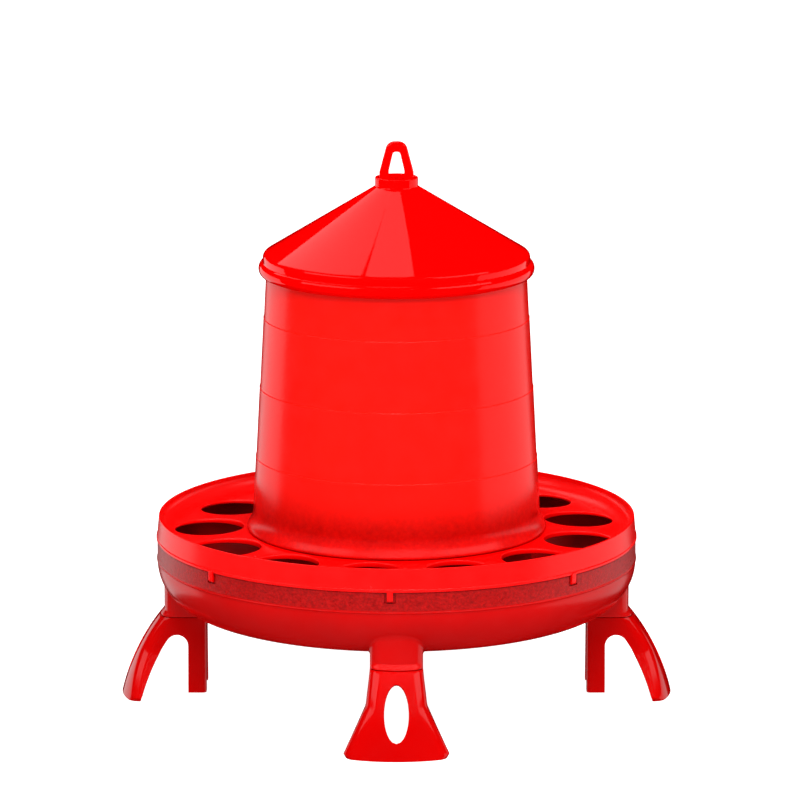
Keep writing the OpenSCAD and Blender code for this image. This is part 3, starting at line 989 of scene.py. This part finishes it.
def plug_shape():
    """The leg's hollow plug, on a cover plate inside its walls."""
    clear = 0.35
    inset = LEG_WALL + clear
    top_out_x = STEM_OUT_X - 4.6

    def cut_top(points, drop):
        return [(x, y, min(bowl_z(math.hypot(x, y)) - drop, CORNER_Z - 26)) for x, y, _ in points]

    outline = stem_section(top_out_x, inset, 0)
    inner = stem_section(top_out_x, inset + LEG_WALL, 0)
    plate_z = LEG_TOP_Z - 0.6
    rows = [[(x, y, plate_z) for x, y, _ in stem_section(stem_front_x(LEG_TOP_Z), 1.2, 0)],
            [(x, y, plate_z) for x, y, _ in outline],
            cut_top(outline, 1.4),
            cut_top(inner, 1.4),
            [(x, y, plate_z + 2.4) for x, y, _ in inner]]
    shape = Shape().rows(rows, loop_columns=True)
    count = len(inner)
    shape.faces.append(tuple(4 * count + i for i in range(count)))
    return shape


def make_legs(material):
    walls = link("leg_walls", leg_mesh())
    bpy.context.view_layer.update()
    outward = sum((Vector(p.center) - Vector((0.19, 0, 0.03))).dot(p.normal) * p.area
                  for p in walls.data.polygons)
    # The wall is thickened inwards, so the faces have to point out
    if outward < 0:
        walls.data.flip_normals()
    solid = walls.modifiers.new("wall", "SOLIDIFY")
    solid.thickness = LEG_WALL * MM
    solid.offset = -1
    solid.use_even_offset = True
    solid.use_quality_normals = True
    apply_modifiers(walls)
    for vertex in walls.data.vertices:
        vertex.co.z = max(vertex.co.z, 0)
    cut(walls, prong_gap_shape())
    soften(walls, 0.5, 2, 55)
    plug = link("leg_plug", plug_shape().mesh("leg_plug"))
    soften(plug, 0.4, 2, 50)
    for name, angle in LEG_ANGLES.items():
        turn = Matrix.Rotation(math.radians(angle - 90), 4, "Z")
        leg = link("leg_" + name + "_shell", walls.data.copy())
        leg.data.transform(turn)
        finish_piece(leg, material, "leg_" + name, "leg_red", "leg_" + name)
        inner = link("leg_" + name + "_plug", plug.data.copy())
        inner.data.transform(turn)
        finish_piece(inner, material, "leg_" + name, "leg_red")
    bpy.data.objects.remove(walls)
    bpy.data.objects.remove(plug)


# ---- Studio ----

LOOK_AT = Vector((0.00304, 0, 0.2627))
CAMERA_PITCH = math.radians(12.08)
CAMERA_DISTANCE = 5.2806
BOX_DISTANCE = 8
BOX_AIM = Vector((0, 0, 0.27))
FLOOR_REACH = 6000


def make_camera():
    data = bpy.data.cameras.new("camera")
    data.sensor_width = 36
    data.lens = 270
    camera = bpy.data.objects.new("camera", data)
    bpy.context.scene.collection.objects.link(camera)
    back = Vector((0, -math.cos(CAMERA_PITCH), math.sin(CAMERA_PITCH)))
    camera.location = LOOK_AT + back * CAMERA_DISTANCE
    camera.rotation_euler = (-back).to_track_quat("-Z", "Y").to_euler()
    bpy.context.scene.camera = camera


def glint(azimuth, tilt):
    """Direction from which light reflects to the camera, off a surface that faces an azimuth
    (degrees from the front towards +X) and is tilted up by tilt degrees."""
    a, t = math.radians(azimuth), math.radians(tilt)
    normal = Vector((math.sin(a) * math.cos(t), -math.cos(a) * math.cos(t), math.sin(t)))
    sight = Vector((0, math.cos(CAMERA_PITCH), -math.sin(CAMERA_PITCH)))
    return sight - 2 * sight.dot(normal) * normal


def softbox(name, start, end, height, radiance, lift=0.0):
    """A flat, far light from one direction to another, seen from the feeder.

    height is its other side and lift raises it, both as shares of its distance.
    """
    first = BOX_AIM + start.normalized() * BOX_DISTANCE
    last = BOX_AIM + end.normalized() * BOX_DISTANCE
    middle = (first + last) / 2
    facing = (BOX_AIM - middle).normalized()
    along = (last - first).normalized()
    up = facing.cross(along).normalized()
    if up.z < 0:
        along, up = -along, -up
    middle += up * lift * BOX_DISTANCE
    data = bpy.data.lights.new(name, "AREA")
    data.shape = "RECTANGLE"
    data.size = (last - first).length
    data.size_y = height * BOX_DISTANCE
    data.energy = radiance * math.pi * data.size * data.size_y
    light = bpy.data.objects.new(name, data)
    bpy.context.scene.collection.objects.link(light)
    turn = Matrix((along, up, -facing)).transposed().to_4x4()
    light.matrix_world = Matrix.Translation(middle) @ turn
    light.visible_camera = False
    return light


def make_world():
    """Soft light from all round: brighter from below, plain white to the camera, not mirrored."""
    world = bpy.data.worlds.new("studio")
    bpy.context.scene.world = world
    world.use_nodes = True
    nodes, links = world.node_tree.nodes, world.node_tree.links
    sky = nodes["Background"]
    place = nodes.new("ShaderNodeTexCoord")
    split = nodes.new("ShaderNodeSeparateXYZ")
    spread = nodes.new("ShaderNodeMapRange")
    links.new(place.outputs["Generated"], split.inputs["Vector"])
    links.new(split.outputs["Z"], spread.inputs["Value"])
    for socket, value in (("From Min", -0.7), ("From Max", 0.9), ("To Min", 1.0), ("To Max", 0.4)):
        spread.inputs[socket].default_value = value
    ray = nodes.new("ShaderNodeLightPath")
    pick = nodes.new("ShaderNodeMix")
    links.new(ray.outputs["Is Camera Ray"], pick.inputs["Factor"])
    links.new(spread.outputs["Result"], pick.inputs["A"])
    pick.inputs["B"].default_value = 1.0
    sky.inputs["Color"].default_value = (1, 1, 1, 1)
    links.new(pick.outputs["Result"], sky.inputs["Strength"])
    world.cycles_visibility.glossy = False


def make_floor():
    """A wide floor just under the feet, which the feeder neither mirrors nor is lit by."""
    shape = Shape()
    places = (-FLOOR_REACH, 0, FLOOR_REACH)
    shape.rows([[(x, y, -0.2) for x in places] for y in places])
    floor = link("floor", shape.mesh("floor"))
    floor.data.materials.append(floor_white())
    floor.visible_glossy = False
    floor.visible_diffuse = False
    floor.visible_shadow = False


def make_lights():
    """Softboxes that give each surface its reflections, and a large key light without any."""
    cone_tilt = 90 - math.degrees(LID_SLOPE)
    wall_tilt = math.degrees(math.atan(HOPPER_TAPER))
    softbox("lid_box_left", glint(-64, cone_tilt), glint(-15.7, cone_tilt), 0.5, 0.8, 0.05)
    softbox("lid_box_right", glint(-13.7, cone_tilt), glint(7.6, cone_tilt), 0.5, 0.8)
    softbox("side_box_left", glint(-80, wall_tilt), glint(-56, wall_tilt), 0.5, 0.8, 0.02)
    softbox("side_box_right", glint(37, wall_tilt), glint(74, wall_tilt), 0.5, 0.55, 0.02)
    softbox("front_box_left", glint(-43, 30), glint(-16, 30), 0.35, 1.0)
    softbox("front_box_right", glint(16, 30), glint(43, 30), 0.35, 1.0)
    key = softbox("key_box", Vector((-0.4, -0.6, 0.95)), Vector((0.5, -0.6, 0.95)), 0.8, 7.5)
    key.visible_glossy = False


bpy.context.scene.view_settings.view_transform = "Standard"
make_camera()
make_world()
make_floor()
make_lights()

make_tray(tray_plastic(), tray_inside_shade_plastic())
make_ring(ring_plastic())
make_hopper(hopper_plastic())
make_lid(lid_plastic())
make_loop(lid_plastic())
make_retainer(nylon())
make_legs(leg_plastic())
inner_material = inner_plastic()
for node_name in ("feed_cone", "feed_outlet"):
    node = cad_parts[node_name]
    node.data.materials.clear()
    node.data.materials.append(inner_material)
